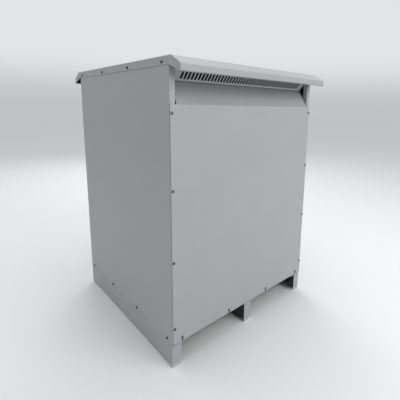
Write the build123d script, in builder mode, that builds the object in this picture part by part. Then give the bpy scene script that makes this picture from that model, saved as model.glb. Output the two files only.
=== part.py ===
from build123d import *
import os
from math import hypot

# Ventilated dry-type power transformer in a drip-proof sheet-metal enclosure.
# Millimetres. +Z is up, -Y is the front cover, +X is to the right when looking at that cover.
# The origin is on the floor under the middle of the enclosure.

# Enclosure
overall_height = 1200.0
body_width = 866.0
body_depth = 853.0
sheet = 2.0
bend = 5.0
seat_gap = 0.3

# Rails that the unit stands on
rail_height = 98.0
rail_width = 42.0
rail_foot = 54.0
rail_top = 80.0
rail_sheet = 3.0
rail_return = 26.0
rail_corner = 6.0
rail_setback = 2.0

# Base frame on the rails
base_upstand = 45.0
base_ledge = 60.0
base_lip = 18.0
sill_height = 26.0
sill_ledge = 20.0

# Side panels
post_width = 26.0
post_lip = 24.0

# Front and rear covers
cover_sheet = 2.5
cover_edge = 1.4
cover_bottom = 105.0
cover_drop = 160.0
screw_slots = 4
screw_slot_to_edge = 42.6
screw_slot_width = 8.0
screw_height = 121.0

# Top cover with a hood over each vent
ridge_overhang = 17.5
fascia_overhang = 72.5
hood_drop = 30.5
fascia_height = 24.5
fascia_return = 12.0
top_flange = 29.0

# Throat panels and slotted vents under the hoods
throat_gap = 3.0
throat_flange = 42.0
throat_back = 46.5
throat_drop = 77.0
knee_rise = 4.0
seam_flange = 18.0
vent_reach = 14.5
vent_sheet = 1.5
vent_flange = 22.0
vent_slots = 45
vent_slot_to_end = 45.6
vent_slot_width = 10.0
vent_slot_length = 72.0
vent_slot_start = 10.0

# Core with three legs
core_depth = 140.0
yoke_height = 130.0
window_height = 420.0
core_rise = 10.0
core_chamfer = 10.0

# Windings round each leg
winding_height = 380.0
bore_gap = 7.0
bore_corner = 10.0
low_winding_wall = 20.0
duct = 8.0
high_winding_wall = 18.0
winding_spacing = 14.0
windings_to_wall = 61.0

# Core clamps, tie rods and winding blocks
clamp_height = 120.0
clamp_flange = 40.0
clamp_sheet = 6.0
clamp_to_wall = 34.0
tie_rod_diameter = 16.0
tie_rod_edge = 10.0
block_width = 60.0

# Support channels on rubber pads
support_height = 70.0
support_width = 50.0
support_sheet = 5.0
support_to_wall = 29.0
pad_height = 12.0
pad_length = 50.0
pad_width = 40.0

# Places that follow from the sizes above
frame_plane = body_depth / 2
panel_face = body_width / 2 - sheet
panel_inside = panel_face - sheet
roof_underside = overall_height - sheet
post_edge = panel_face - post_width
between_posts = 2 * (post_edge - seat_gap)
cover_top = overall_height - cover_drop
throat_knee = cover_top + knee_rise
throat_top = overall_height - throat_drop
throat_half_width = post_edge - throat_gap
vertex_y = throat_back - frame_plane
pad_seat = rail_height
support_seat = pad_seat + pad_height
clamp_seat = support_seat + support_height
core_bottom = clamp_seat + core_rise
window_bottom = core_bottom + yoke_height
window_top = window_bottom + window_height
core_top = window_top + yoke_height
high_winding_gap = bore_gap + low_winding_wall + duct
high_winding_reach = high_winding_gap + high_winding_wall
winding_width = (2 * (panel_inside - windings_to_wall) - 2 * winding_spacing) / 3
leg_pitch = winding_width + winding_spacing
leg_width = winding_width - 2 * high_winding_reach
winding_bottom = (window_bottom + window_top - winding_height) / 2
winding_top = winding_bottom + winding_height
lower_clamp_top = clamp_seat + clamp_height
upper_clamp_bottom = core_top - clamp_height
clamp_length = 2 * (panel_inside - clamp_to_wall)
support_length = 2 * (panel_inside - support_to_wall)
high_winding_face = core_depth / 2 + high_winding_reach


def folded(plane, points, gauge, radius, side=Side.RIGHT):
    """Cross-section of a sheet folded along points, its metal on one side of them."""
    with BuildSketch(plane) as section:
        with BuildLine():
            FilletPolyline(*points, radius=radius)
            offset(amount=gauge, side=side)
        make_face()
    return section.sketch


def save(solid, name):
    """Label a finished piece and write it under its own name."""
    solid.label = name
    export_step(solid, f"parts/{name}.step")


os.makedirs("parts", exist_ok=True)

# Rails: channels open on their inner side, their ends closed by folded caps


def rail(web_x):
    """A rail running front to back, its web at web_x and its flanges towards +X."""
    end = frame_plane - rail_setback
    section = [
        (web_x + rail_foot, 0),
        (web_x, 0),
        (web_x, rail_height),
        (web_x + rail_top, rail_height),
    ]
    with BuildPart() as channel:
        extrude(folded(Plane.XZ.offset(-end), section, rail_sheet, rail_corner), amount=2 * end)
        # Each cap closes the web side of the channel and turns back along its open side
        for cap_plane in (end - rail_sheet, -end):
            with BuildSketch(Plane.XZ.offset(cap_plane)) as cap:
                with Locations((web_x + rail_width / 2, rail_height / 2)):
                    Rectangle(rail_width, rail_height)
                fillet(cap.vertices().group_by(Axis.Y)[0], radius=rail_corner)
            extrude(amount=rail_sheet)
        with BuildSketch(Plane.XY.offset(rail_sheet)):
            with Locations((web_x + rail_width - rail_sheet / 2, 0)):
                with GridLocations(0, 2 * end - rail_return, 1, 2):
                    Rectangle(rail_sheet, rail_return)
        extrude(amount=rail_height - 2 * rail_sheet)
    return channel.part


rail_left = rail(-panel_face)
save(rail_left, "rail_left")
save(rail(-rail_width / 2), "rail_middle")
save(mirror(rail_left, about=Plane.YZ), "rail_right")

# Base frame: front and rear members between the posts, sills beside them

base_section = [
    (base_lip - frame_plane, rail_height + base_upstand),
    (-frame_plane, rail_height + base_upstand),
    (-frame_plane, rail_height),
    (base_ledge - frame_plane, rail_height),
]
with BuildPart() as base_member_front:
    extrude(
        folded(Plane.YZ.offset(-between_posts / 2), base_section, rail_sheet, bend, Side.LEFT),
        amount=between_posts,
    )
save(base_member_front.part, "base_member_front")
save(mirror(base_member_front.part, about=Plane.XZ), "base_member_rear")

sill_half_length = frame_plane - base_ledge - seat_gap
sill_section = [
    (-panel_inside, rail_height + sill_height),
    (-panel_inside, rail_height),
    (sill_ledge - panel_inside, rail_height),
]
with BuildPart() as base_sill_left:
    extrude(
        folded(Plane.XZ.offset(-sill_half_length), sill_section, sheet, bend, Side.LEFT),
        amount=2 * sill_half_length,
    )
save(base_sill_left.part, "base_sill_left")
save(mirror(base_sill_left.part, about=Plane.YZ), "base_sill_right")

# Side panels: one sheet each, folded into a post with a return lip at the front and the rear

panel_section = [
    (-post_edge, post_lip - frame_plane),
    (-post_edge, -frame_plane),
    (-panel_face, -frame_plane),
    (-panel_face, frame_plane),
    (-post_edge, frame_plane),
    (-post_edge, frame_plane - post_lip),
]
panel_bottom = rail_height + seat_gap
with BuildPart() as side_panel_left:
    extrude(
        folded(Plane.XY.offset(panel_bottom), panel_section, sheet, bend),
        amount=roof_underside - panel_bottom,
    )
    # Flange along the top edge that the top cover rests on
    with BuildSketch(Plane.XY.offset(roof_underside - sheet)):
        with Locations(((-panel_face - post_edge) / 2, 0)):
            Rectangle(post_width, body_depth - 2 * bend)
    extrude(amount=sheet)
save(side_panel_left.part, "side_panel_left")
save(mirror(side_panel_left.part, about=Plane.YZ), "side_panel_right")

# Covers: flat sheets lapped over the posts, slotted from the bottom edge for their screws

cover_width = 2 * (panel_face - cover_edge)
screw_slot_pitch = (cover_width - 2 * screw_slot_to_edge) / (screw_slots - 1)
slot_reach = 2 * (screw_height - cover_bottom) + screw_slot_width
with BuildPart() as front_cover:
    with BuildSketch(Plane.XZ.offset(frame_plane)) as cover_outline:
        with Locations((0, (cover_bottom + cover_top) / 2)):
            Rectangle(cover_width, cover_top - cover_bottom)
        with Locations((0, cover_bottom)):
            with GridLocations(screw_slot_pitch, 0, screw_slots, 1):
                SlotOverall(slot_reach, screw_slot_width, rotation=90, mode=Mode.SUBTRACT)
    extrude(amount=cover_sheet)
save(front_cover.part, "front_cover")
save(mirror(front_cover.part, about=Plane.XZ), "rear_cover")

# Headers: channels between the posts that carry the throat panels

header_top = throat_knee - bend
header_bottom = header_top - throat_flange
header_section = [
    (post_lip - frame_plane, header_bottom),
    (sheet - frame_plane, header_bottom),
    (sheet - frame_plane, header_top),
    (post_lip - frame_plane, header_top),
]
with BuildPart() as front_header:
    extrude(
        folded(Plane.YZ.offset(-between_posts / 2), header_section, sheet, bend),
        amount=between_posts,
    )
save(front_header.part, "front_header")
save(mirror(front_header.part, about=Plane.XZ), "rear_header")

# Throat panels: from behind the cover's top edge up and back to the vent's lower edge

throat_section = [
    (-frame_plane, header_bottom),
    (-frame_plane, throat_knee),
    (vertex_y, throat_top),
    (vertex_y + seam_flange, throat_top),
]
with BuildPart() as front_throat_panel:
    extrude(
        folded(Plane.YZ.offset(-throat_half_width), throat_section, sheet, bend),
        amount=2 * throat_half_width,
    )
save(front_throat_panel.part, "front_throat_panel")
save(mirror(front_throat_panel.part, about=Plane.XZ), "rear_throat_panel")

# Slotted vents: from the throat up and forward to the roof, inside the hood

vent_slot_pitch = 2 * (throat_half_width - vent_slot_to_end) / (vent_slots - 1)
vent_top_y = -frame_plane - vent_reach
vent_section = [
    (vertex_y + seam_flange, throat_top),
    (vertex_y, throat_top),
    (vent_top_y, roof_underside),
    (vent_top_y + vent_flange, roof_underside),
]
vent_run = vent_top_y - vertex_y
vent_rise = roof_underside - throat_top
slot_middle = (vent_slot_start + vent_slot_length / 2) / hypot(vent_run, vent_rise)
vent_plane = Plane(
    origin=(0, vertex_y + slot_middle * vent_run, throat_top + slot_middle * vent_rise),
    x_dir=(1, 0, 0),
    z_dir=(0, vent_rise, -vent_run),
)
with BuildPart() as front_vent:
    extrude(
        folded(Plane.YZ.offset(-throat_half_width), vent_section, vent_sheet, bend),
        amount=2 * throat_half_width,
    )
    with BuildSketch(vent_plane):
        with GridLocations(vent_slot_pitch, 0, vent_slots, 1):
            Rectangle(vent_slot_width, vent_slot_length)
    extrude(amount=2 * vent_sheet, both=True, mode=Mode.SUBTRACT)
save(front_vent.part, "front_vent")
save(mirror(front_vent.part, about=Plane.XZ), "rear_vent")

# Top cover: roof, sloped hoods, fascias and side flanges

ridge = frame_plane + ridge_overhang
fascia = frame_plane + fascia_overhang
fascia_top = overall_height - hood_drop
fascia_bottom = fascia_top - fascia_height
top_flange_bottom = overall_height - top_flange
roof_section = [
    (fascia_return - fascia, fascia_bottom),
    (-fascia, fascia_bottom),
    (-fascia, fascia_top),
    (-ridge, overall_height),
    (ridge, overall_height),
    (fascia, fascia_top),
    (fascia, fascia_bottom),
    (fascia - fascia_return, fascia_bottom),
]
flange_outline = roof_section[1:-1] + [(frame_plane, top_flange_bottom), (-frame_plane, top_flange_bottom)]
with BuildPart() as top_cover:
    extrude(
        folded(Plane.YZ.offset(-body_width / 2), roof_section, sheet, bend),
        amount=body_width,
    )
    with BuildSketch(Plane.YZ.offset(-body_width / 2), Plane.YZ.offset(panel_face)):
        with BuildLine():
            Polyline(*flange_outline, close=True)
        make_face()
    extrude(amount=sheet)
save(top_cover.part, "top_cover")

# Core: stacked steel with three legs and two yokes

core_width = 2 * leg_pitch + leg_width
with BuildPart() as core:
    with BuildSketch(Plane.XZ.offset(-core_depth / 2)):
        with Locations((0, (core_bottom + core_top) / 2)):
            Rectangle(core_width, core_top - core_bottom)
            with GridLocations(leg_pitch, 0, 2, 1):
                Rectangle(leg_pitch - leg_width, window_height, mode=Mode.SUBTRACT)
    extrude(amount=core_depth)
    chamfer(core.edges().filter_by(Axis.Y).group_by(Axis.X)[0], length=core_chamfer)
    chamfer(core.edges().filter_by(Axis.Y).group_by(Axis.X)[-1], length=core_chamfer)
save(core.part, "core")

# Windings: a low-voltage ring and a high-voltage ring round each leg, with an air duct between


def winding(centre_x, gap, wall):
    """One ring round the leg at centre_x, its inside a gap away from the leg."""
    with BuildPart() as ring:
        with BuildSketch(Plane.XY.offset(winding_bottom)):
            with Locations((centre_x, 0)):
                for reach, mode in ((gap + wall, Mode.ADD), (gap, Mode.SUBTRACT)):
                    RectangleRounded(
                        leg_width + 2 * reach,
                        core_depth + 2 * reach,
                        bore_corner + reach - bore_gap,
                        mode=mode,
                    )
        extrude(amount=winding_height)
    return ring.part


for place, centre_x in (("left", -leg_pitch), ("middle", 0), ("right", leg_pitch)):
    save(winding(centre_x, bore_gap, low_winding_wall), f"low_voltage_winding_{place}")
    save(winding(centre_x, high_winding_gap, high_winding_wall), f"high_voltage_winding_{place}")

# Core clamps: channels against the yokes, flanges outward


def clamp(bottom):
    """Front clamp channel whose lower flange is at bottom."""
    face = -core_depth / 2
    section = [
        (face - clamp_flange, bottom),
        (face, bottom),
        (face, bottom + clamp_height),
        (face - clamp_flange, bottom + clamp_height),
    ]
    with BuildPart() as channel:
        section_plane = Plane.YZ.offset(-clamp_length / 2)
        extrude(
            folded(section_plane, section, clamp_sheet, 2 * clamp_sheet, Side.LEFT),
            amount=clamp_length,
        )
    return channel.part


for height_name, bottom in (("lower", clamp_seat), ("upper", upper_clamp_bottom)):
    front_clamp = clamp(bottom)
    save(front_clamp, f"{height_name}_clamp_front")
    save(mirror(front_clamp, about=Plane.XZ), f"{height_name}_clamp_rear")

# Tie rods between the clamps at both ends of the core

clamp_middle_y = core_depth / 2 + clamp_flange / 2
with BuildPart() as tie_rods:
    with BuildSketch(Plane.XY.offset(lower_clamp_top)):
        with GridLocations(clamp_length - 2 * tie_rod_edge, 2 * clamp_middle_y, 2, 2):
            Circle(tie_rod_diameter / 2)
    extrude(amount=upper_clamp_bottom - lower_clamp_top)
save(tie_rods.part, "tie_rods")

# Blocks that carry the windings on the clamps' flanges

block_inner = core_depth / 2 + clamp_sheet
block_outer = high_winding_face


def winding_blocks(bottom, top):
    """Six blocks, front and rear of each leg, between two heights."""
    with BuildPart() as blocks:
        with BuildSketch(Plane.XY.offset(bottom)):
            with GridLocations(leg_pitch, block_inner + block_outer, 3, 2):
                Rectangle(block_width, block_outer - block_inner)
        extrude(amount=top - bottom)
    return blocks.part


save(winding_blocks(lower_clamp_top, winding_bottom), "winding_blocks_lower")
save(winding_blocks(winding_top, upper_clamp_bottom), "winding_blocks_upper")

# Support channels under the lower clamps, on rubber pads

support_section = [
    (-core_depth / 2 - support_width, support_seat),
    (-core_depth / 2, support_seat),
    (-core_depth / 2, clamp_seat),
    (-core_depth / 2 - support_width, clamp_seat),
]
with BuildPart() as support_front:
    support_plane = Plane.YZ.offset(-support_length / 2)
    extrude(
        folded(support_plane, support_section, support_sheet, 2 * support_sheet, Side.LEFT),
        amount=support_length,
    )
save(support_front.part, "support_channel_front")
save(mirror(support_front.part, about=Plane.XZ), "support_channel_rear")

pad_side_x = panel_face - rail_top / 2 - sill_ledge / 2
pad_y = core_depth / 2 + support_width / 2
with BuildPart() as isolation_pads:
    with BuildSketch(Plane.XY.offset(pad_seat)):
        with GridLocations(pad_side_x, 2 * pad_y, 3, 2):
            Rectangle(pad_width, pad_length)
    extrude(amount=pad_height)
save(isolation_pads.part, "isolation_pads")
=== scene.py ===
from math import cos, radians, sin, tau

import bpy
from bpy.props import FloatProperty, FloatVectorProperty, IntProperty, PointerProperty
from mathutils import Matrix, Vector


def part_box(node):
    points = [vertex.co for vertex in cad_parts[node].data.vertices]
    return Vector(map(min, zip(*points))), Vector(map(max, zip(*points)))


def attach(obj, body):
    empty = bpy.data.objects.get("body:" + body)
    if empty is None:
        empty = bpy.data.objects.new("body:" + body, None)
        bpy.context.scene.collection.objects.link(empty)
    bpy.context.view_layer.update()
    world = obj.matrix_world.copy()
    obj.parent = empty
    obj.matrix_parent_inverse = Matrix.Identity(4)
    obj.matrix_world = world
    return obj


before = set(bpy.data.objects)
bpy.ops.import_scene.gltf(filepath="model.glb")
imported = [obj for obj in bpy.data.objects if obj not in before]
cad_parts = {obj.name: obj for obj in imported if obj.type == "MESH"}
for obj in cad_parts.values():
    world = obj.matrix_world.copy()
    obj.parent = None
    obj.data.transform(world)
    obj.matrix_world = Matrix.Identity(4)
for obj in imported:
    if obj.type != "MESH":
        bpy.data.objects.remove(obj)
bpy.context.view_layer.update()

bl_info = {
    "name": "Ventilated transformer finish",
    "version": (1, 0, 0),
    "blender": (4, 5, 0),
    "location": "3D View > Sidebar > Transformer",
    "description": "Paint, fasteners and studio for a ventilated dry-type transformer",
    "category": "Object",
}

# Corners of a node's box, and the axes
LOWEST, HIGHEST = 0, 1
X, Y, Z = 0, 1, 2

# The line that inner faces look at lies this far under the top cover's middle, in metres
INNER_LINE_DROP = 0.018
# Nearer to the middle than this, the side panels' faces are their grey lips
PANEL_LIPS_END = 0.408
# A rail's ledges lie below this height, and get a painted highlight past these distances from the middle
LEDGE_TOP = 0.012
LEDGE_HIGHLIGHT_FROM, LEDGE_HIGHLIGHT_FULL = 0.385, 0.41

ROD_RADIUS = 0.008
SCREW_RECESS, NUT_RECESS = 0.0009, 0.001
SCREWS_IN_ROW = 4

# A face looks along an axis when its normal has more than this share on it
SQUARE_ON = 0.7

# Colours of painted shade, zinc bloom, dust, rust, bare edges and rubbed plate with a painted glint
# Near-black painted shade for seams and for the band under the covers' lower edges
PAINTED_SHADE = (0.02, 0.02, 0.02, 1.0)
ZINC_BLOOM = (0.34, 0.345, 0.35, 1.0)
BASE_DUST = (0.24, 0.23, 0.21, 1.0)
CLAMP_DUST = (0.3, 0.28, 0.26, 1.0)
THIN_RUST = (0.16, 0.07, 0.035, 1.0)
CHIPPED_EDGE = (0.34, 0.33, 0.32, 1.0)
# Rubbed plate, lightened as a painted glint on the edges of screws and nuts
RUBBED_PLATE_AND_GLINT = (0.78, 0.78, 0.77, 1.0)

# Kinds of socket
FLOAT, VECTOR, GEOMETRY = "NodeSocketFloat", "NodeSocketVector", "NodeSocketGeometry"


def panel_edge(node, corner, axis):
    """A coordinate of one corner of a node's box, in metres."""
    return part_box(node)[corner][axis]


# Sizes and colours that a user would change


def a_colour(name, note, default):
    """A colour."""
    return FloatVectorProperty(
        name=name, description=note, subtype="COLOR", size=3, min=0, max=1, default=default,
    )


def a_share(name, note, default):
    """A share from 0 to 1."""
    return FloatProperty(name=name, description=note, subtype="FACTOR", min=0, max=1, default=default)


def a_length(name, note, default, least=0.001):
    """A length in metres."""
    return FloatProperty(
        name=name, description=note, subtype="DISTANCE", unit="LENGTH", min=least, default=default,
    )


def an_angle(name, note, degrees):
    """An angle, given in degrees."""
    return FloatProperty(
        name=name, description=note, subtype="ANGLE", unit="ROTATION", default=radians(degrees),
    )


def an_amount(name, note, default, least=0):
    """A count, power or strength without a unit of its own."""
    return FloatProperty(name=name, description=note, min=least, default=default)


class PaintSettings(bpy.types.PropertyGroup):
    """Powder coat of the enclosure."""

    colour: a_colour("Paint colour", "Light grey powder coat", (0.328, 0.334, 0.346))
    # Rubbed edges, lightened further as a painted highlight along the folds
    worn_colour: a_colour("Rubbed edge colour", "Thin paint on rubbed edges", (0.60, 0.607, 0.615))
    dust_colour: a_colour("Dust colour", "Dry dust that settles on ledges", (0.40, 0.39, 0.37))
    # A painted highlight on the ends of the rails' low ledges
    scraped_colour: a_colour("Scraped ledge colour", "Bare zinc on scraped ledges", (0.86, 0.865, 0.87))
    # Near-black painted shade on faces that look into the enclosure, on cut slot edges and under the rails
    inner_colour: a_colour("Inner face colour", "Thin dark primer on inner faces", (0.009, 0.0092, 0.0096))
    roughness: a_share("Paint roughness", "Roughness of clean powder coat", 0.46)
    peel_scale: an_amount("Texture per metre", "Bumps of the powder coat along a metre", 620, least=1)
    peel_height: a_length("Texture height", "Height of the powder coat's bumps", 0.00006, least=0)
    # Strength of the rubbed edges and of their painted highlight
    wear: a_share("Edge wear and highlight", "How far the folded edges are rubbed", 0.4)
    dust: a_share("Dust", "How much dust lies on ledges", 0.28)
    # How strong the painted shade in seams and corners is
    grime: a_share("Seam grime", "How dark the seams between sheets are", 0.8)


class MetalSettings(bpy.types.PropertyGroup):
    """Bare and coated steel under and inside the enclosure."""

    galvanised: a_colour("Galvanised steel", "Weathered zinc of the base frame", (0.24, 0.25, 0.262))
    spangle: an_amount("Spangle per metre", "Zinc crystals along a metre", 85, least=1)
    core: a_colour("Core steel", "Oxide coat of the core's laminations", (0.16, 0.17, 0.19))
    lamination: a_length("Lamination packet", "Thickness of a packet of laminations", 0.0035, least=0.0001)
    clamp: a_colour("Clamp primer", "Dark grey primer of the core clamps", (0.085, 0.09, 0.095))
    plated: a_colour("Zinc plate", "Plated nuts and rods", (0.56, 0.57, 0.58))
    # A lighter copy of the screw finish: painted light for the cover screws' glints
    grey_plate: a_colour("Grey plate", "Grey zinc-nickel plate of the cover screws", (0.12, 0.122, 0.127))
    # A darker copy of the screw finish: painted shade for the screws on the shaded sides
    blackened: a_colour("Blackened steel", "Black oxide of the side screws", (0.065, 0.067, 0.071))


class InsulationSettings(bpy.types.PropertyGroup):
    """Varnished windings, blocks and pads."""

    low_varnish: a_colour("Inner winding varnish", "Amber varnish of inner windings", (0.30, 0.13, 0.045))
    high_varnish: a_colour("Outer winding varnish", "Dark varnish of outer windings", (0.16, 0.055, 0.028))
    turn_pitch: a_length("Turn pitch", "Height of one turn of tape under the varnish", 0.011)
    laminate: a_colour("Block laminate", "Resin laminate of the winding blocks", (0.44, 0.31, 0.14))
    rubber: a_colour("Pad rubber", "Ribbed rubber of the isolation pads", (0.018, 0.018, 0.02))


class FastenerSettings(bpy.types.PropertyGroup):
    """Hexagon screws of the enclosure and nuts of the tie rods, all on washers."""

    screw_flats: a_length("Screw across flats", "Width of the hexagon across its flats", 0.008)
    screw_head: a_length("Screw head height", "Height of the hexagon above its washer", 0.0036)
    screw_washer: a_length("Screw washer", "Diameter of the washer under the hexagon", 0.0108)
    nut_flats: a_length("Nut across flats", "Width of a tie rod's nut across its flats", 0.024)
    nut_head: a_length("Nut height", "Height of a tie rod's nut", 0.013)
    nut_washer: a_length("Nut washer", "Diameter of the washer under a nut", 0.034)
    washer_height: a_length("Washer height", "Thickness of a screw's washer", 0.0012, least=0.0002)
    inset_from_side: a_length("Screw to side", "From a cover screw to the enclosure's side", 0.0087)
    pitch: a_length("Screw pitch", "Between screws along an edge", 0.258, least=0.01)
    lowest_side_screw: a_length("Lowest cover screw", "Height of the lowest cover screw", 0.1735, least=0)
    side_screw_pitch: a_length("Cover screw pitch", "Between screws up a cover's side", 0.2787, least=0.01)
    bottom_screw_height: a_length("Bottom screw height", "Height of the notches' screws", 0.121, least=0)
    skirt_screw_height: a_length("Skirt screw height", "Height of a side panel's screws", 0.115, least=0)
    flange_screw_height: a_length("Flange screw height", "Height of the top cover's screws", 1.181, least=0)
    seed: IntProperty(name="Seed", description="Turns each screw head to its own angle", min=0, default=7)


class StageSettings(bpy.types.PropertyGroup):
    """Floor, light and camera."""

    floor_colour: a_colour("Floor colour", "Plain pale floor", (0.68, 0.68, 0.68))
    floor_radius: a_length("Floor radius", "Radius of the floor", 40, least=1)
    sky_colour: a_colour("Sky colour", "Even light, darker at the horizon", (0.97, 0.985, 1.0))
    sky: an_amount("Sky strength", "Brightness of the even light from all round", 0.74)
    key: an_amount("Key power", "Large soft lamp before the front cover", 66)
    top: an_amount("Top power", "Large soft lamp over the roof", 55)
    fill: an_amount("Fill power", "Soft lamp over the rear", 60)
    camera_place: FloatVectorProperty(
        name="Camera place", description="Where the camera stands", subtype="TRANSLATION", unit="LENGTH",
        size=3, default=(-1.0217, -1.3447, 1.0350),
    )
    azimuth: an_angle("Camera azimuth", "Turn from looking along +Y", -43.01)
    elevation: an_angle("Camera elevation", "How far the camera looks down", 10.365)
    roll: an_angle("Camera roll", "Turn about the line of sight", 0.992)
    lens: an_amount("Lens", "Focal length in millimetres", 27.945, least=1)
    shift: FloatVectorProperty(
        name="Shift", description="Sideways and upward shift of the lens", size=2,
        default=(-0.06335, -0.09152),
    )


class TransformerSettings(bpy.types.PropertyGroup):
    """All settings of the transformer."""

    paint: PointerProperty(type=PaintSettings, name="Paint", description="Powder coat")
    metal: PointerProperty(type=MetalSettings, name="Metal", description="Steel parts")
    insulation: PointerProperty(type=InsulationSettings, name="Insulation", description="Windings and pads")
    fasteners: PointerProperty(type=FastenerSettings, name="Fasteners", description="Screws and nuts")
    stage: PointerProperty(type=StageSettings, name="Stage", description="Floor, light and camera")


# Node helpers


def feed(tree, socket, value):
    """Give a socket a value, or link another node's socket to it."""
    if isinstance(value, bpy.types.NodeSocket):
        tree.links.new(value, socket)
    else:
        socket.default_value = value


def add(tree, kind, inputs=None, **properties):
    """Add a node, set its properties and feed its inputs."""
    node = tree.nodes.new(kind)
    for name, value in properties.items():
        setattr(node, name, value)
    for socket, value in (inputs or {}).items():
        feed(tree, node.inputs[socket], value)
    return node


def calc(tree, operation, first, second=0.0, clamp=False):
    """Output of a Math node."""
    ends = {0: first, 1: second}
    return add(tree, "ShaderNodeMath", ends, operation=operation, use_clamp=clamp).outputs[0]


def times(tree, first, second, clamp=False):
    """Product of two values."""
    return calc(tree, "MULTIPLY", first, second, clamp)


def dot(tree, first, second):
    """How far two directions agree."""
    node = add(tree, "ShaderNodeVectorMath", {0: first, 1: second}, operation="DOT_PRODUCT")
    return node.outputs["Value"]


def coordinate(tree, vector, axis):
    """One coordinate of a vector."""
    return add(tree, "ShaderNodeSeparateXYZ", {0: vector}).outputs[axis]


def surface_normal(tree):
    """Direction that the surface faces."""
    return add(tree, "ShaderNodeNewGeometry").outputs["Normal"]


def ramp(tree, value, low=0.0, high=1.0, to_low=0.0, to_high=1.0):
    """Output of a smooth Map Range node."""
    inputs = {"Value": value, "From Min": low, "From Max": high, "To Min": to_low, "To Max": to_high}
    return add(tree, "ShaderNodeMapRange", inputs, interpolation_type="SMOOTHSTEP").outputs["Result"]


def blend(tree, factor, first, second):
    """Output of a colour Mix node."""
    node = add(tree, "ShaderNodeMix", data_type="RGBA")
    ends = {"Factor_Float": factor, "A_Color": first, "B_Color": second}
    for socket in node.inputs:
        if socket.identifier in ends:
            feed(tree, socket, ends[socket.identifier])
    return next(socket for socket in node.outputs if socket.identifier == "Result_Color")


def noise(tree, vector, scale, detail, roughness=0.5):
    """Value of a Noise Texture."""
    inputs = {"Vector": vector, "Scale": scale, "Detail": detail, "Roughness": roughness}
    return add(tree, "ShaderNodeTexNoise", inputs).outputs["Fac"]


def patches(tree, vector, scale, detail, low, high, roughness=0.5, to_low=0.0):
    """Noise drawn together into patches that come up between a low and a high value."""
    return ramp(tree, noise(tree, vector, scale, detail, roughness), low, high, to_low)


def group(name, kind, inputs, outputs):
    """A node group with its named sockets, what it is given and what it puts out."""
    tree = bpy.data.node_groups.new(name, kind)
    for label, socket_type, default in inputs:
        socket = tree.interface.new_socket(label, in_out="INPUT", socket_type=socket_type)
        if default is not None:
            socket.default_value = default
    for label, socket_type in outputs:
        tree.interface.new_socket(label, in_out="OUTPUT", socket_type=socket_type)
    return tree, tree.nodes.new("NodeGroupInput").outputs, tree.nodes.new("NodeGroupOutput").inputs


def mask_group(name, **amounts):
    """A shader group that makes a mask from a place and some amounts."""
    inputs = [(label.replace("_", " "), FLOAT, amount) for label, amount in amounts.items()]
    return group(name, "ShaderNodeTree", [("Vector", VECTOR, None), *inputs], [("Mask", FLOAT)])


# Shader effects that several materials share


def edge_wear_group():
    """Mask of the edges where paint is rubbed thin, and where folds and screw heads get a painted
    highlight, broken up by a grain.
    """
    tree, given, result = mask_group("Edge wear and highlight", Radius=0.002, Grain=90.0, Amount=0.5)
    rounded = add(tree, "ShaderNodeBevel", {"Radius": given["Radius"]}, samples=6).outputs["Normal"]
    turned_away = calc(tree, "SUBTRACT", 1.0, dot(tree, rounded, surface_normal(tree)))
    edge = ramp(tree, turned_away, low=0.015, high=0.16)
    broken = patches(tree, given["Vector"], given["Grain"], detail=5.0, roughness=0.62, low=0.34, high=0.62)
    least, rest = 0.25, 0.75
    rubbed = times(tree, edge, calc(tree, "ADD", least, times(tree, broken, rest)))
    feed(tree, result["Mask"], times(tree, rubbed, given["Amount"], clamp=True))
    return tree


def powder_group():
    """Height and tone of a sprayed powder coat: fine bumps, speckle and slow waves in the sheet."""
    tree, given, result = group(
        "Powder coat grain", "ShaderNodeTree",
        [("Vector", VECTOR, None), ("Scale", FLOAT, 600.0), ("Wave", FLOAT, 0.5)],
        [("Height", FLOAT), ("Speckle", FLOAT), ("Cloud", FLOAT)],
    )
    place, scale = given["Vector"], given["Scale"]
    peel = noise(tree, place, scale, detail=2.0, roughness=0.45)
    wave = noise(tree, place, scale=3.2, detail=1.0, roughness=0.4)
    feed(tree, result["Height"], calc(tree, "ADD", peel, times(tree, wave, given["Wave"])))
    speckle_scale = times(tree, scale, 2.3)
    feed(tree, result["Speckle"], patches(tree, place, speckle_scale, detail=1.0, low=0.3, high=0.7))
    cloud = patches(tree, place, scale=6.5, detail=4.0, roughness=0.6, low=0.25, high=0.75)
    feed(tree, result["Cloud"], cloud)
    return tree


def dust_group():
    """Mask of dust: thick on ledges that face up, thin and streaky on walls near the floor."""
    tree, given, result = mask_group("Settled dust", Amount=0.3, Splash_Height=0.16)
    place = given["Vector"]
    ledge = ramp(tree, coordinate(tree, surface_normal(tree), Z), low=0.35, high=0.95)
    mottled = patches(tree, place, scale=22.0, detail=6.0, roughness=0.65, low=0.28, high=0.72, to_low=0.35)
    height = calc(tree, "DIVIDE", coordinate(tree, place, Z), given["Splash Height"])
    splash = ramp(tree, height, low=0.05, to_low=1.0, to_high=0.0)
    flecks = patches(tree, place, scale=140.0, detail=4.0, roughness=0.6, low=0.45, high=0.75)
    splashed = times(tree, times(tree, splash, flecks), 0.6)
    both = calc(tree, "MAXIMUM", times(tree, ledge, mottled), splashed)
    feed(tree, result["Mask"], times(tree, both, given["Amount"], clamp=True))
    return tree


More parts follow.
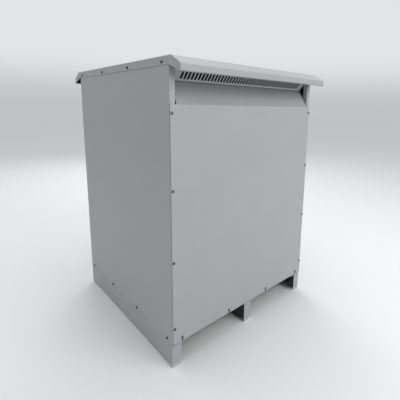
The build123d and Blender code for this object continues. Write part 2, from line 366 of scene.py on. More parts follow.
def inner_face_group():
    """Mask of painted shade: the faces that look at the enclosure's inner line, and edges cut square to X.
    """
    tree, given, result = mask_group(
        "Inner shade", Centre_Height=1.155, Across=0.0, Beyond=0.0, Cut_Edges=0.0,
    )
    across, depth, height = (coordinate(tree, given["Vector"], axis) for axis in (X, Y, Z))
    above = calc(tree, "SUBTRACT", height, given["Centre Height"])
    from_line = {"X": times(tree, across, given["Across"]), "Y": depth, "Z": above}
    arm = add(tree, "ShaderNodeCombineXYZ", from_line).outputs[0]
    normal = surface_normal(tree)
    inward = calc(tree, "LESS_THAN", dot(tree, normal, arm), 0.0)
    slack = 0.0001
    nearest = calc(tree, "SUBTRACT", given["Beyond"], slack)
    outer = calc(tree, "GREATER_THAN", calc(tree, "ABSOLUTE", across), nearest)
    sideways = calc(tree, "ABSOLUTE", coordinate(tree, normal, X))
    cut = times(tree, calc(tree, "GREATER_THAN", sideways, SQUARE_ON), given["Cut Edges"])
    feed(tree, result["Mask"], calc(tree, "MAXIMUM", times(tree, inward, outer), cut))
    return tree


def seam_grime_group():
    """Mask of painted shade in narrow seams and corners, where two sheets or a screw and its sheet meet."""
    tree, given, result = mask_group("Seam grime", Reach=0.006, Amount=0.8)
    nearby = add(tree, "ShaderNodeAmbientOcclusion", {"Distance": given["Reach"]}, samples=12)
    closed = ramp(tree, nearby.outputs["AO"], low=0.3, high=0.8, to_low=1.0, to_high=0.0)
    place = given["Vector"]
    uneven = patches(tree, place, scale=60.0, detail=4.0, roughness=0.6, low=0.25, high=0.7, to_low=0.7)
    feed(tree, result["Mask"], times(tree, times(tree, closed, uneven), given["Amount"], clamp=True))
    return tree


def cover_gap_group():
    """Mask of a painted shadow in a band between two heights, on faces that look to the front or rear."""
    tree, given, result = mask_group("Cover gap shade", Low=0.098, High=0.105, Amount=0.6)
    height = coordinate(tree, given["Vector"], Z)
    lengthways = calc(tree, "ABSOLUTE", coordinate(tree, surface_normal(tree), Y))
    facing = calc(tree, "GREATER_THAN", lengthways, SQUARE_ON)
    above = calc(tree, "GREATER_THAN", height, given["Low"])
    below = calc(tree, "LESS_THAN", height, given["High"])
    band = times(tree, times(tree, above, below), facing)
    feed(tree, result["Mask"], times(tree, band, given["Amount"], clamp=True))
    return tree


def turns_group():
    """Height and tone of tape or laminations stacked along an axis, each turn a little different."""
    tree, given, result = group(
        "Stacked turns", "ShaderNodeTree",
        [("Along", FLOAT, 0.0), ("Pitch", FLOAT, 0.01), ("Groove", FLOAT, 0.12)],
        [("Height", FLOAT), ("Tone", FLOAT)],
    )
    turn = calc(tree, "DIVIDE", given["Along"], given["Pitch"])
    within = calc(tree, "FRACT", turn)
    from_edge = calc(tree, "MINIMUM", within, calc(tree, "SUBTRACT", 1.0, within))
    feed(tree, result["Height"], ramp(tree, from_edge, high=given["Groove"]))
    picked = add(tree, "ShaderNodeTexWhiteNoise", {"W": calc(tree, "FLOOR", turn)}, noise_dimensions="1D")
    feed(tree, result["Tone"], picked.outputs["Value"])
    return tree


GROUP_MAKERS = {
    "Edge wear and highlight": edge_wear_group,
    "Powder coat grain": powder_group,
    "Settled dust": dust_group,
    "Inner shade": inner_face_group,
    "Seam grime": seam_grime_group,
    "Cover gap shade": cover_gap_group,
    "Stacked turns": turns_group,
}


def effect(tree, name, **inputs):
    """Place a shared effect in a material, and build it the first time."""
    shared = bpy.data.node_groups.get(name) or GROUP_MAKERS[name]()
    named = {label.replace("_", " "): value for label, value in inputs.items()}
    return add(tree, "ShaderNodeGroup", named, node_tree=shared).outputs


def mask(tree, name, place, **amounts):
    """The mask that a shared effect puts out."""
    return effect(tree, name, Vector=place, **amounts)["Mask"]


def stacked(tree, place, axis, pitch, groove):
    """Height and tone of turns or sheets stacked along an axis."""
    return effect(tree, "Stacked turns", Along=coordinate(tree, place, axis), Pitch=pitch, Groove=groove)


# Materials


def start_material(name, **constants):
    """A new material with its shader, its tree and the piece's own coordinates."""
    material = bpy.data.materials.new(name)
    material.use_nodes = True
    tree = material.node_tree
    shader = next(node for node in tree.nodes if node.type == "BSDF_PRINCIPLED")
    for socket, value in constants.items():
        shader.inputs[socket.replace("_", " ")].default_value = value
    place = add(tree, "ShaderNodeTexCoord").outputs["Object"]
    return material, tree, shader, place


def finish_shader(tree, shader, surface, height, depth):
    """Feed what varies to the shader, and bend its normal by a relief of a depth in metres."""
    for socket, value in surface.items():
        feed(tree, shader.inputs[socket], value)
    bump = add(tree, "ShaderNodeBump", {"Height": height, "Distance": depth})
    feed(tree, shader.inputs["Normal"], bump.outputs["Normal"])


def opaque(colour, share=1.0):
    """A colour setting as a socket value, brightened or darkened by a share."""
    return (colour[0] * share, colour[1] * share, colour[2] * share, 1.0)


def shades(colour, *shares):
    """Several brighter or darker versions of a colour setting."""
    return [opaque(colour, share) for share in shares]


def darkened_gap(tree, place, colour):
    """The colour, with a painted shadow between the rails and a cover's lower edge."""
    low, high = panel_edge("rail_left", HIGHEST, Z), panel_edge("front_cover", LOWEST, Z)
    return blend(tree, mask(tree, "Cover gap shade", place, Low=low, High=high), colour, PAINTED_SHADE)


def scraped_ledge(tree, place):
    """Mask of a painted highlight on the front and rear ends of the low ledges, strongest where they face
    up.
    """
    upward = ramp(tree, coordinate(tree, surface_normal(tree), Z), low=-0.2, high=0.5)
    from_middle = calc(tree, "ABSOLUTE", coordinate(tree, place, Y))
    near_end = ramp(tree, from_middle, low=LEDGE_HIGHLIGHT_FROM, high=LEDGE_HIGHLIGHT_FULL)
    low = times(tree, calc(tree, "LESS_THAN", coordinate(tree, place, Z), LEDGE_TOP), near_end)
    patchy = patches(tree, place, scale=35.0, detail=4.0, roughness=0.6, low=0.3, high=0.6, to_low=0.55)
    return times(tree, times(tree, upward, low), patchy)


def powder_coat(
    name, paint, wear_radius=0.0016, inner=None, tone=1.0, rubbing=1.0, dust=1.0, grime=1.0,
    gap=False, highlit=False,
):
    """Powder-coated sheet: orange peel, clouding, dust, rubbed edges with a painted highlight, painted seam
    shade.

    Tone scales the paint colour as painted shade below 1 and painted light above 1. Rubbing, dust
    and seam shade are shares of the paint's own settings; inner feeds the mask of painted inner shade.
    """
    material, tree, shader, place = start_material(name, Specular_IOR_Level=0.42)
    grain = effect(tree, "Powder coat grain", Vector=place, Scale=paint.peel_scale)
    # Rubbed edges, also a painted highlight along the folds
    worn_and_painted_light = mask(tree, "Edge wear and highlight", place, Radius=wear_radius, Grain=70.0, Amount=paint.wear * rubbing)
    settled = mask(tree, "Settled dust", place, Amount=paint.dust * dust)
    # Painted shade in seams, corners and round the screws, found by ambient occlusion
    seams = mask(tree, "Seam grime", place, Amount=paint.grime * grime)
    dark, light, speck = shades(paint.colour, 0.975 * tone, 1.02 * tone, 0.86 * tone)
    colour = blend(tree, grain["Cloud"], dark, light)
    colour = blend(tree, times(tree, grain["Speckle"], 0.22), colour, speck)
    # Painted shade on faces that look into the enclosure
    if inner:
        inside = mask(tree, "Inner shade", place, **inner)
        colour = blend(tree, inside, colour, opaque(paint.inner_colour))
    colour = blend(tree, worn_and_painted_light, colour, opaque(paint.worn_colour))
    colour = blend(tree, settled, colour, opaque(paint.dust_colour))
    # Painted shadow under the covers' lower edges
    if gap:
        colour = darkened_gap(tree, place, colour)
    # Painted highlight on the ends of the rails' ledges
    if highlit:
        colour = blend(tree, scraped_ledge(tree, place), colour, opaque(paint.scraped_colour))
    rough = calc(tree, "ADD", paint.roughness, times(tree, grain["Cloud"], 0.07))
    rough = calc(tree, "SUBTRACT", rough, times(tree, worn_and_painted_light, 0.12))
    surface = {
        "Base Color": blend(tree, seams, colour, PAINTED_SHADE),
        "Roughness": calc(tree, "ADD", rough, times(tree, settled, 0.45), clamp=True),
    }
    finish_shader(tree, shader, surface, grain["Height"], paint.peel_height)
    return material


def galvanised_steel(name, metal, dust):
    """Hot-dipped sheet: zinc crystals of differing brightness, white bloom and dust."""
    material, tree, shader, place = start_material(name)
    crystal = add(tree, "ShaderNodeTexVoronoi", {"Vector": place, "Scale": metal.spangle})
    shade = add(tree, "ShaderNodeSeparateColor", {0: crystal.outputs["Color"]}).outputs[0]
    bloom = patches(tree, place, scale=18.0, detail=6.0, roughness=0.7, low=0.5, high=0.78)
    settled = mask(tree, "Settled dust", place, Amount=dust)
    zinc = blend(tree, shade, *shades(metal.galvanised, 0.78, 1.15))
    colour = blend(tree, times(tree, bloom, 0.5), zinc, ZINC_BLOOM)
    metallic = calc(tree, "SUBTRACT", 0.85, times(tree, settled, 0.6))
    surface = {
        # The frame also gets the painted shadow under the covers' lower edges
        "Base Color": darkened_gap(tree, place, blend(tree, settled, colour, BASE_DUST)),
        "Metallic": calc(tree, "SUBTRACT", metallic, times(tree, bloom, 0.4)),
        "Roughness": ramp(tree, shade, to_low=0.36, to_high=0.58),
    }
    relief = calc(tree, "ADD", shade, noise(tree, place, scale=500.0, detail=2.0))
    finish_shader(tree, shader, surface, relief, depth=0.00002)
    return material


def stacked_colour(tree, turns, groove, dark, light):
    """Tone of each turn between two colours, and a third in the grooves between turns."""
    return blend(tree, turns["Height"], groove, blend(tree, turns["Tone"], dark, light))


def core_steel(name, metal):
    """Stacked laminations that run across the depth, with oxide blue and thin rust on the cut edges."""
    material, tree, shader, place = start_material(name, Specular_IOR_Level=0.5)
    turns = stacked(tree, place, Y, pitch=metal.lamination, groove=0.14)
    oxide = stacked_colour(tree, turns, *shades(metal.core, 0.3, 0.75, 1.25))
    rust = patches(tree, place, scale=30.0, detail=7.0, roughness=0.68, low=0.56, high=0.8)
    surface = {
        "Base Color": blend(tree, times(tree, rust, 0.5), oxide, THIN_RUST),
        "Metallic": calc(tree, "SUBTRACT", 0.8, times(tree, rust, 0.6)),
        "Roughness": ramp(tree, rust, to_low=0.4, to_high=0.75),
    }
    finish_shader(tree, shader, surface, turns["Height"], depth=0.0002)
    return material


def varnished_winding(name, colour, pitch):
    """Taped turns under baked varnish: darker in the grooves, with runs and a soft gloss."""
    material, tree, shader, place = start_material(name, Coat_Weight=0.35, Coat_Roughness=0.22)
    turns = stacked(tree, place, Z, pitch, groove=0.16)
    weave = add(
        tree, "ShaderNodeTexWave", {"Vector": place, "Scale": 260.0, "Distortion": 1.2, "Detail": 2.0},
        wave_type="BANDS", bands_direction="DIAGONAL",
    ).outputs["Fac"]
    faint_weave = times(tree, weave, 0.15)
    drips = patches(tree, place, scale=14.0, detail=5.0, roughness=0.6, low=0.35, high=0.7)
    taped = stacked_colour(tree, turns, *shades(colour, 0.35, 0.78, 1.2))
    run, thread = shades(colour, 0.5, 1.5)
    surface = {
        "Base Color": blend(tree, faint_weave, blend(tree, times(tree, drips, 0.4), taped, run), thread),
        "Roughness": ramp(tree, drips, to_low=0.5, to_high=0.3),
    }
    finish_shader(tree, shader, surface, calc(tree, "ADD", turns["Height"], faint_weave), depth=0.0007)
    return material


def primed_steel(name, metal):
    """Brushed-on primer over pressed steel, chipped along its edges."""
    material, tree, shader, place = start_material(name, Specular_IOR_Level=0.45)
    grain = effect(tree, "Powder coat grain", Vector=place, Scale=260.0)
    chipped = mask(tree, "Edge wear and highlight", place, Radius=0.003, Grain=55.0, Amount=0.8)
    settled = mask(tree, "Settled dust", place, Amount=0.5, Splash_Height=0.1)
    primer = blend(tree, grain["Cloud"], *shades(metal.clamp, 0.85, 1.3))
    surface = {
        "Base Color": blend(tree, settled, blend(tree, chipped, primer, CHIPPED_EDGE), CLAMP_DUST),
        "Metallic": times(tree, chipped, 0.8),
        "Roughness": ramp(tree, grain["Speckle"], to_low=0.5, to_high=0.66),
    }
    finish_shader(tree, shader, surface, grain["Height"], depth=0.00012)
    return material


def plated_steel(name, colour, thread=False):
    """Zinc plate or black oxide with stains, rubbed edges lightened as a painted glint, and on rods the
    ridges of a rolled thread.
    """
    material, tree, shader, place = start_material(name)
    stain = noise(tree, place, scale=240.0, detail=4.0, roughness=0.6)
    scratch = noise(tree, place, scale=1400.0, detail=2.0)
    # Rubbed edges, also a painted glint on the heads
    rubbed = mask(tree, "Edge wear and highlight", place, Radius=0.0006, Grain=300.0, Amount=0.6)
    plate = blend(tree, ramp(tree, stain, low=0.3, high=0.7), *shades(colour, 0.8, 1.1))
    surface = {
        "Base Color": blend(tree, rubbed, plate, RUBBED_PLATE_AND_GLINT),
        "Metallic": ramp(tree, stain, low=0.35, high=0.75, to_low=0.9, to_high=0.72),
        "Roughness": ramp(tree, scratch, low=0.3, high=0.7, to_low=0.3, to_high=0.46),
    }
    relief, depth = scratch, 0.00002
    if thread:
        relief, depth = stacked(tree, place, Z, pitch=0.002, groove=0.5)["Height"], 0.0006
    finish_shader(tree, shader, surface, relief, depth)
    return material


def block_laminate(name, insulation):
    """Pressed resin laminate with thin plies and a woven face."""
    material, tree, shader, place = start_material(name, Specular_IOR_Level=0.5)
    plies = stacked(tree, place, Y, pitch=0.0016, groove=0.2)
    cloth = add(tree, "ShaderNodeTexBrick", {"Vector": place, "Scale": 220.0, "Mortar Size": 0.03})
    dark, light, woven = shades(insulation.laminate, 0.8, 1.15, 0.55)
    ply = blend(tree, plies["Tone"], dark, light)
    pressed = noise(tree, place, scale=60.0, detail=4.0)
    surface = {
        "Base Color": blend(tree, times(tree, cloth.outputs["Fac"], 0.3), ply, woven),
        "Roughness": ramp(tree, pressed, low=0.3, high=0.7, to_low=0.38, to_high=0.56),
    }
    finish_shader(tree, shader, surface, plies["Height"], depth=0.00015)
    return material


def pad_rubber(name, insulation):
    """Ribbed black rubber with a grey bloom."""
    material, tree, shader, place = start_material(name, Specular_IOR_Level=0.3)
    ribs = stacked(tree, place, Y, pitch=0.005, groove=0.3)
    bloom = patches(tree, place, scale=40.0, detail=6.0, roughness=0.65, low=0.4, high=0.8)
    surface = {
        "Base Color": blend(tree, times(tree, bloom, 0.6), *shades(insulation.rubber, 1.0, 4.0)),
        "Roughness": ramp(tree, bloom, to_low=0.62, to_high=0.85),
    }
    finish_shader(tree, shader, surface, ribs["Height"], depth=0.001)
    return material


def studio_floor(name, stage):
    """Pale, matt studio floor with a faint mottle."""
    material, tree, shader, place = start_material(name, Specular_IOR_Level=0.2)
    mottle = noise(tree, place, scale=1.7, detail=5.0, roughness=0.6)
    feed(tree, shader.inputs["Base Color"], blend(tree, mottle, *shades(stage.floor_colour, 0.985, 1.01)))
    matt = ramp(tree, mottle, low=0.3, high=0.7, to_low=0.78, to_high=0.86)
    feed(tree, shader.inputs["Roughness"], matt)
    return material


def coat(nodes, material):
    """Give CAD nodes a material in each of their slots."""
    for name in nodes:
        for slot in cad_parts[name].material_slots:
            slot.material = material


def pairs(*names, ends=("front", "rear")):
    """Node names with each of their ends put in."""
    return [name.format(end) for name in names for end in ends]


# Screws and nuts


def fastener_tree():
    """Hexagon heads on washers, one at each point, turned to face its outward direction."""
    tree, given, result = group(
        "Hexagon heads", "GeometryNodeTree",
        [
            ("Points", GEOMETRY, None),
            ("Across Flats", FLOAT, 0.009),
            ("Head Height", FLOAT, 0.004),
            ("Washer Diameter", FLOAT, 0.013),
            ("Washer Height", FLOAT, 0.0012),
            ("Recess", FLOAT, 0.0008),
            ("Seed", "NodeSocketInt", 7),
            ("Material", "NodeSocketMaterial", None),
        ],
        [("Fasteners", GEOMETRY)],
    )

    def upward(height):
        """A move straight up."""
        return add(tree, "ShaderNodeCombineXYZ", {"Z": height}).outputs[0]

    def raise_top(mesh, selection, height, share):
        """Pull the top face up by a height and scale it, for a wall, a chamfer or a recess."""
        inputs = {"Mesh": mesh, "Offset": upward(height), "Offset Scale": 1.0, "Individual": False}
        if selection is not None:
            inputs["Selection"] = selection
        pulled = add(tree, "GeometryNodeExtrudeMesh", inputs, mode="FACES").outputs
        top = {"Geometry": pulled["Mesh"], "Selection": pulled["Top"], "Scale": share}
        scaled = add(tree, "GeometryNodeScaleElements", top, domain="FACE")
        return scaled.outputs["Geometry"], pulled["Top"]

    def join(*meshes):
        """Meshes joined into one."""
        joined = tree.nodes.new("GeometryNodeJoinGeometry")
        for mesh in meshes:
            feed(tree, joined.inputs[0], mesh)
        return joined.outputs[0]

    def turned(corners, diameter, steps, base):
        """A closed turned or hexagonal form: a flat base, then one pull of its top for each step."""
        circle = {"Vertices": corners, "Radius": times(tree, diameter, 0.5)}
        disc = add(tree, "GeometryNodeMeshCircle", circle, fill_type="NGON").outputs["Mesh"]
        mesh, top = disc, None
        for height, share in steps:
            mesh, top = raise_top(mesh, top, height, share)
        under = add(tree, "GeometryNodeFlipFaces", {"Mesh": disc}).outputs["Mesh"]
        weld = {"Geometry": join(under, mesh), "Distance": 1e-6}
        closed = add(tree, "GeometryNodeMergeByDistance", weld).outputs[0]
        lift = {"Geometry": closed, "Translation": upward(base)}
        return add(tree, "GeometryNodeTransform", lift).outputs[0]

    # Each step is how far the top is pulled, and how much of its width it keeps
    washer_height, head_height = given["Washer Height"], given["Head Height"]
    washer_steps = [(times(tree, washer_height, 0.45), 1.0), (times(tree, washer_height, 0.55), 0.86)]
    head_steps = [
        (times(tree, head_height, 0.84), 1.0),
        (times(tree, head_height, 0.16), 0.87),
        (0.0, 0.78),
        (times(tree, given["Recess"], -1.0), 0.8),
    ]
    flats_to_corners = 2 / 3**0.5
    washer = turned(32, given["Washer Diameter"], washer_steps, base=0.0)
    hexagon = times(tree, given["Across Flats"], flats_to_corners)
    head = turned(6, hexagon, head_steps, base=times(tree, washer_height, 0.9))
    whole = join(washer, head)

    outward = add(tree, "GeometryNodeInputNamedAttribute", {"Name": "outward"}, data_type="FLOAT_VECTOR")
    aim = {"Vector": outward.outputs["Attribute"]}
    facing = add(tree, "FunctionNodeAlignRotationToVector", aim, axis="Z").outputs[0]
    spin = add(tree, "FunctionNodeRandomValue", data_type="FLOAT")
    drawn = {"Max_001": tau, "Seed": given["Seed"]}
    for socket in spin.inputs:
        if socket.identifier in drawn:
            feed(tree, socket, drawn[socket.identifier])
    angle = next(socket for socket in spin.outputs if socket.identifier == "Value_001")
    turn = add(tree, "FunctionNodeAxisAngleToRotation", {"Axis": (0, 0, 1), "Angle": angle}).outputs[0]
    both = {"Rotation": facing, "Rotate By": turn}
    rotation = add(tree, "FunctionNodeRotateRotation", both, rotation_space="LOCAL").outputs[0]
    spread = {"Points": given["Points"], "Instance": whole, "Rotation": rotation}
    placed = add(tree, "GeometryNodeInstanceOnPoints", spread).outputs[0]
    real = add(tree, "GeometryNodeRealizeInstances", {"Geometry": placed}).outputs[0]
    dressed = {"Geometry": real, "Material": given["Material"]}
    feed(tree, result[0], add(tree, "GeometryNodeSetMaterial", dressed).outputs[0])
    return tree


def grow(name, places, tree, values):
    """Run a Geometry Nodes tree on points with outward directions, and keep the result as a plain mesh."""
    points = bpy.data.meshes.new(name + "_points")
    points.from_pydata([point for point, _ in places], [], [])
    outward = points.attributes.new("outward", "FLOAT_VECTOR", "POINT")
    for item, (_, direction) in zip(outward.data, places):
        item.vector = direction
    piece = bpy.data.objects.new(name, points)
    bpy.context.scene.collection.objects.link(piece)
    modifier = piece.modifiers.new("Fasteners", "NODES")
    modifier.node_group = tree
    identifiers = {
        item.name: item.identifier for item in tree.interface.items_tree
        if item.item_type == "SOCKET" and item.in_out == "INPUT"
    }
    for label, value in values.items():
        modifier[identifiers[label]] = value
    evaluated = piece.evaluated_get(bpy.context.evaluated_depsgraph_get())
    mesh = bpy.data.meshes.new_from_object(evaluated)
    piece.modifiers.remove(modifier)
    piece.data = mesh
    bpy.data.meshes.remove(points)
    mesh.name = name
    return piece


def fit_fasteners(name, places, values, material):
    """Grow a set of fasteners and fix it to the transformer."""
    tree = bpy.data.node_groups.get("Hexagon heads") or fastener_tree()
    piece = grow(name, places, tree, {**values, "Material": material})
    if not piece.data.polygons:
        raise RuntimeError(f"{name} came out empty")
    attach(piece, "root")


def head_values(sizes, kind, washers, recess):
    """Inputs of the screws' or nuts' tree, with so many thicknesses of washer."""
    flats, head, washer = (getattr(sizes, f"{kind}_{part}") for part in ("flats", "head", "washer"))
    return {
        "Across Flats": flats,
        "Head Height": head,
        "Washer Diameter": washer,
        "Washer Height": sizes.washer_height * washers,
        "Recess": recess,
        "Seed": sizes.seed,
    }


def edge_row(pitch):
    """Places of screws along an edge, even about its middle."""
    return [(index - (SCREWS_IN_ROW - 1) / 2) * pitch for index in range(SCREWS_IN_ROW)]


class Step:
    """What the transformer's operators share."""

    bl_options = {"REGISTER", "UNDO"}


class TRANSFORMER_OT_coat_enclosure(Step, bpy.types.Operator):
    """Powder-coat the side panels, covers, roof, throat panels and vents"""

    bl_idname = "transformer.coat_enclosure"
    bl_label = "Coat the enclosure"

    def execute(self, context):
        paint = context.scene.transformer.paint
        low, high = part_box("top_cover")
        along = {"Centre_Height": (low[Z] + high[Z]) / 2 - INNER_LINE_DROP}
        cut = {**along, "Cut_Edges": 1.0}
        cover = powder_coat(
            "cover_powder_coat", paint, wear_radius=0.002, inner={**along, "Cut_Edges": 0.75}, grime=1.2,
        )
        panel = powder_coat(
            "panel_powder_coat", paint, inner={"Across": 1.0, "Beyond": PANEL_LIPS_END},
            rubbing=0.6, grime=0.6, gap=True,
        )
        # Tone darkens the roof a little, as painted shade
        roof = powder_coat(
            "roof_powder_coat", paint, inner={**along, "Across": 1.0},
            tone=0.975, rubbing=0.3, dust=1.25, grime=0.5,
        )
        # Tone brightens the vent bars as painted light, and their cut slot edges get painted shade
        vent = powder_coat("vent_powder_coat", paint, wear_radius=0.001, inner=cut, tone=1.22, rubbing=0.0)
        # Tone darkens the throat panels as painted shade under the hood, and their cut edges get painted
        # shade too
        throat = powder_coat("throat_powder_coat", paint, wear_radius=0.001, inner=cut, tone=0.855)
        coat(pairs("{}_cover"), cover)
        coat(["side_panel_left", "side_panel_right"], panel)
        coat(["top_cover"], roof)
        coat(pairs("{}_vent"), vent)
        coat(pairs("{}_throat_panel"), throat)
        return {"FINISHED"}


class TRANSFORMER_OT_finish_base(Step, bpy.types.Operator):
    """Coat the rails, and galvanise the base frame and the headers"""

    bl_idname = "transformer.finish_base"
    bl_label = "Finish the base"

    def execute(self, context):
        settings = context.scene.transformer
        paint = settings.paint
        # The rails' tone is a little darker, as painted shade, and their ledges get a painted highlight
        worn_and_painted_light = {"wear_radius": 0.003, "tone": 0.965, "rubbing": 2.0, "dust": 1.6, "highlit": True}
        # With the line under the floor, undersides get the painted shade of inner faces and tops don't
        inside = {"Across": 1.0, "Centre_Height": -1.0}
        outer_rails = powder_coat("rail_powder_coat", paint, inner=inside, **worn_and_painted_light)
        # The middle rail is under the enclosure, so its sides that look outwards get painted shade too
        outside = {**inside, "Across": -1.0}
        middle_rail = powder_coat("middle_rail_powder_coat", paint, inner=outside, **worn_and_painted_light)
        zinc = galvanised_steel("galvanised_frame", settings.metal, dust=0.45)
        coat(["rail_left", "rail_right"], outer_rails)
        coat(["rail_middle"], middle_rail)
        coat(pairs("base_member_{}", "{}_header") + ["base_sill_left", "base_sill_right"], zinc)
        return {"FINISHED"}


class TRANSFORMER_OT_finish_core(Step, bpy.types.Operator):
    """Give the core, clamps, supports, tie rods and pads their finishes"""

    bl_idname = "transformer.finish_core"
    bl_label = "Finish the core"

    def execute(self, context):
        settings = context.scene.transformer
        metal = settings.metal
        coat(["core"], core_steel("core_laminations", metal))
        pressed = pairs("lower_clamp_{}", "upper_clamp_{}", "support_channel_{}")
        coat(pressed, primed_steel("clamp_primer", metal))
        coat(["tie_rods"], plated_steel("threaded_rod_plate", metal.plated, thread=True))
        coat(["isolation_pads"], pad_rubber("ribbed_pad_rubber", settings.insulation))
        return {"FINISHED"}


class TRANSFORMER_OT_finish_windings(Step, bpy.types.Operator):
    """Varnish the windings and give their blocks a laminate"""

    bl_idname = "transformer.finish_windings"
    bl_label = "Finish the windings"

    def execute(self, context):
        insulation = context.scene.transformer.insulation
        # The inner windings have thinner turns
        for side, varnish, pitch in (
            ("low", insulation.low_varnish, insulation.turn_pitch * 0.7),
            ("high", insulation.high_varnish, insulation.turn_pitch),
        ):
            taped = varnished_winding(f"{side}_voltage_taped_varnish", varnish, pitch)
            coat(pairs(side + "_voltage_winding_{}", ends=("left", "middle", "right")), taped)
        laminate = block_laminate("winding_block_laminate", insulation)
        coat(["winding_blocks_lower", "winding_blocks_upper"], laminate)
        return {"FINISHED"}


class TRANSFORMER_OT_fit_cover_screws(Step, bpy.types.Operator):
    """Screw both covers to the posts and to the base frame"""

    bl_idname = "transformer.fit_cover_screws"
    bl_label = "Fit the cover screws"

    def execute(self, context):
        settings = context.scene.transformer
        sizes = settings.fasteners
        # The cover screws' lighter grey is painted light
        plate = plated_steel("lit_grey_plated_screws", settings.metal.grey_plate)
        across = panel_edge("side_panel_right", HIGHEST, X) - sizes.inset_from_side
        low, pitch = sizes.lowest_side_screw, sizes.side_screw_pitch
        heights = [low + index * pitch for index in range(SCREWS_IN_ROW)]
        for name, face, out in (
            ("front_cover_screws", panel_edge("front_cover", LOWEST, Y), -1),
            ("rear_cover_screws", panel_edge("rear_cover", HIGHEST, Y), 1),
        ):
            places = [
                ((side * across, face, height), (0, out, 0)) for side in (-1, 1) for height in heights
            ]
            places += [((x, face, sizes.bottom_screw_height), (0, out, 0)) for x in edge_row(sizes.pitch)]
            values = head_values(sizes, "screw", washers=1, recess=SCREW_RECESS)
            fit_fasteners(name, places, values, plate)
        return {"FINISHED"}


class TRANSFORMER_OT_fit_side_screws(Step, bpy.types.Operator):
    """Screw the top cover's flanges and the side panels' lower edges"""

    bl_idname = "transformer.fit_side_screws"
    bl_label = "Fit the side screws"

    def execute(self, context):
        settings = context.scene.transformer
        sizes = settings.fasteners
        # The side screws' darker colour is painted shade
        oxide = plated_steel("shaded_oxide_screws", settings.metal.blackened)
        for name, node, height, material_slot in (
            ("flange_screws", "top_cover", sizes.flange_screw_height, "roof_paint"),
            ("skirt_screws", "side_panel_{}", sizes.skirt_screw_height, "panel_paint"),
        ):
            places = []
            for end, corner, out in (("left", LOWEST, -1), ("right", HIGHEST, 1)):
                face = panel_edge(node.format(end), corner, X)
                places += [((face, y, height), (out, 0, 0)) for y in edge_row(sizes.pitch)]
            values = head_values(sizes, "screw", washers=1, recess=SCREW_RECESS)
            fit_fasteners(name, places, values, oxide)
        return {"FINISHED"}


class TRANSFORMER_OT_fit_tie_rod_nuts(Step, bpy.types.Operator):
    """Put a nut and washer on each end of the tie rods"""

    bl_idname = "transformer.fit_tie_rod_nuts"
    bl_label = "Fit the tie rod nuts"

    def execute(self, context):
        settings = context.scene.transformer
        low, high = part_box("tie_rods")
        places = []
        for x in (low[X] + ROD_RADIUS, high[X] - ROD_RADIUS):
            for y in (low[Y] + ROD_RADIUS, high[Y] - ROD_RADIUS):
                # Each nut reaches from a rod's end inwards
                places += [((x, y, low[Z]), (0, 0, 1)), ((x, y, high[Z]), (0, 0, -1))]
        zinc = plated_steel("zinc_plated_nuts", settings.metal.plated)
        values = head_values(settings.fasteners, "nut", washers=2, recess=NUT_RECESS)
        fit_fasteners("tie_rod_nuts", places, values, zinc)
        return {"FINISHED"}


# Floor, light and camera


def lay_floor(scene, stage):
    """A round floor that runs to the horizon."""
    corners = 96
    radius = stage.floor_radius
    angles = [tau * corner / corners for corner in range(corners)]
    mesh = bpy.data.meshes.new("studio_floor")
    rim = [(radius * cos(angle), radius * sin(angle), 0) for angle in angles]
    mesh.from_pydata(rim, [], [list(range(corners))])
    mesh.materials.append(studio_floor("studio_floor", stage))
    floor = bpy.data.objects.new("studio_floor", mesh)
    scene.collection.objects.link(floor)


def light_sky(scene, stage):
    """An even sky, a little darker at the horizon."""
    world = bpy.data.worlds.new("studio")
    world.use_nodes = True
    tree = world.node_tree
    sky = tree.nodes["Background"]
    direction = add(tree, "ShaderNodeTexCoord").outputs["Generated"]
    height = ramp(tree, coordinate(tree, direction, Z), high=0.15)
    feed(tree, sky.inputs["Color"], blend(tree, height, *shades(stage.sky_colour, 0.74, 1.06)))
    sky.inputs["Strength"].default_value = stage.sky
    scene.world = world


def hang_lamp(scene, name, power, size, place, target):
    """A large square lamp aimed at a point."""
    lamp = bpy.data.lights.new(name, "AREA")
    lamp.shape = "SQUARE"
    lamp.size = size
    lamp.energy = power
    holder = bpy.data.objects.new(name, lamp)
    holder.location = place
    holder.rotation_euler = (Vector(target) - Vector(place)).to_track_quat("-Z", "Y").to_euler()
    scene.collection.objects.link(holder)


def view_rotation(azimuth, elevation, roll):
    """Camera axes for an azimuth from +Y, a look down and a roll."""
    ahead = Vector((-sin(azimuth) * cos(elevation), cos(azimuth) * cos(elevation), -sin(elevation)))
    level = Vector((cos(azimuth), sin(azimuth), 0))
    above = level.cross(ahead)
    right = cos(roll) * level + sin(roll) * above
    up = cos(roll) * above - sin(roll) * level
    return Matrix((right, up, -ahead)).transposed()


def place_camera(scene, stage):
    """The camera, where the photograph was taken from."""
    data = bpy.data.cameras.new("photo_camera")
    data.sensor_width = 36
    data.lens = stage.lens
    data.shift_x, data.shift_y = stage.shift
    data.clip_end = 200
    camera = bpy.data.objects.new("photo_camera", data)
    turn = view_rotation(stage.azimuth, stage.elevation, stage.roll)
    camera.matrix_world = Matrix.Translation(stage.camera_place) @ turn.to_4x4()
    scene.collection.objects.link(camera)
    bpy.context.scene.camera = camera


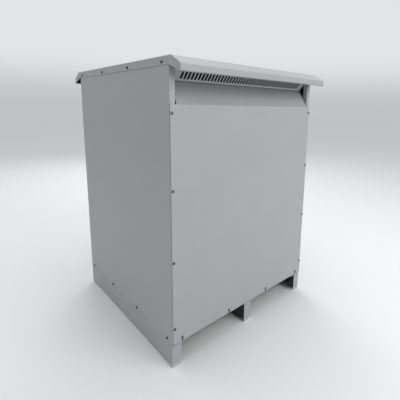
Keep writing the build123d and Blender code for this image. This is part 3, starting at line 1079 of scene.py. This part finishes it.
class TRANSFORMER_OT_lay_out_stage(Step, bpy.types.Operator):
    """Lay the pale floor, hang the soft lamps and place the camera"""

    bl_idname = "transformer.lay_out_stage"
    bl_label = "Lay out the stage"

    def execute(self, context):
        scene = context.scene
        stage = context.scene.transformer.stage
        scene.view_settings.view_transform = "Standard"
        lay_floor(scene, stage)
        light_sky(scene, stage)
        hang_lamp(scene, "key_lamp", stage.key, size=2.4, place=(1, -3.2, 2.35), target=(0, 0, 0.5))
        hang_lamp(scene, "top_lamp", stage.top, size=3.2, place=(0, 0.3, 4.4), target=(0, 0, 1))
        hang_lamp(scene, "fill_lamp", stage.fill, size=3.0, place=(1.6, 3.2, 3), target=(0, 0, 0.7))
        place_camera(scene, stage)
        return {"FINISHED"}


class TRANSFORMER_PT_panel(bpy.types.Panel):
    """Lists the steps in the 3D view's sidebar"""

    bl_label = "Transformer"
    bl_idname = "TRANSFORMER_PT_panel"
    bl_space_type = "VIEW_3D"
    bl_region_type = "UI"
    bl_category = "Transformer"

    def draw(self, context):
        for operator in OPERATORS:
            self.layout.operator(operator.bl_idname)


OPERATORS = (
    TRANSFORMER_OT_coat_enclosure,
    TRANSFORMER_OT_finish_base,
    TRANSFORMER_OT_finish_core,
    TRANSFORMER_OT_finish_windings,
    TRANSFORMER_OT_fit_cover_screws,
    TRANSFORMER_OT_fit_side_screws,
    TRANSFORMER_OT_fit_tie_rod_nuts,
    TRANSFORMER_OT_lay_out_stage,
)
CLASSES = (
    PaintSettings, MetalSettings, InsulationSettings, FastenerSettings, StageSettings,
    TransformerSettings, *OPERATORS, TRANSFORMER_PT_panel,
)


def register():
    for cls in CLASSES:
        bpy.utils.register_class(cls)
    bpy.types.Scene.transformer = PointerProperty(
        type=TransformerSettings, name="Transformer", description="Sizes and colours of the transformer",
    )


def unregister():
    del bpy.types.Scene.transformer
    for cls in reversed(CLASSES):
        bpy.utils.unregister_class(cls)


def main():
    """Make the transformer step by step."""
    register()
    bpy.ops.transformer.coat_enclosure()
    bpy.ops.transformer.finish_base()
    bpy.ops.transformer.finish_core()
    bpy.ops.transformer.finish_windings()
    bpy.ops.transformer.fit_cover_screws()
    bpy.ops.transformer.fit_side_screws()
    bpy.ops.transformer.fit_tie_rod_nuts()
    bpy.ops.transformer.lay_out_stage()


if __name__ == "__main__":
    main()
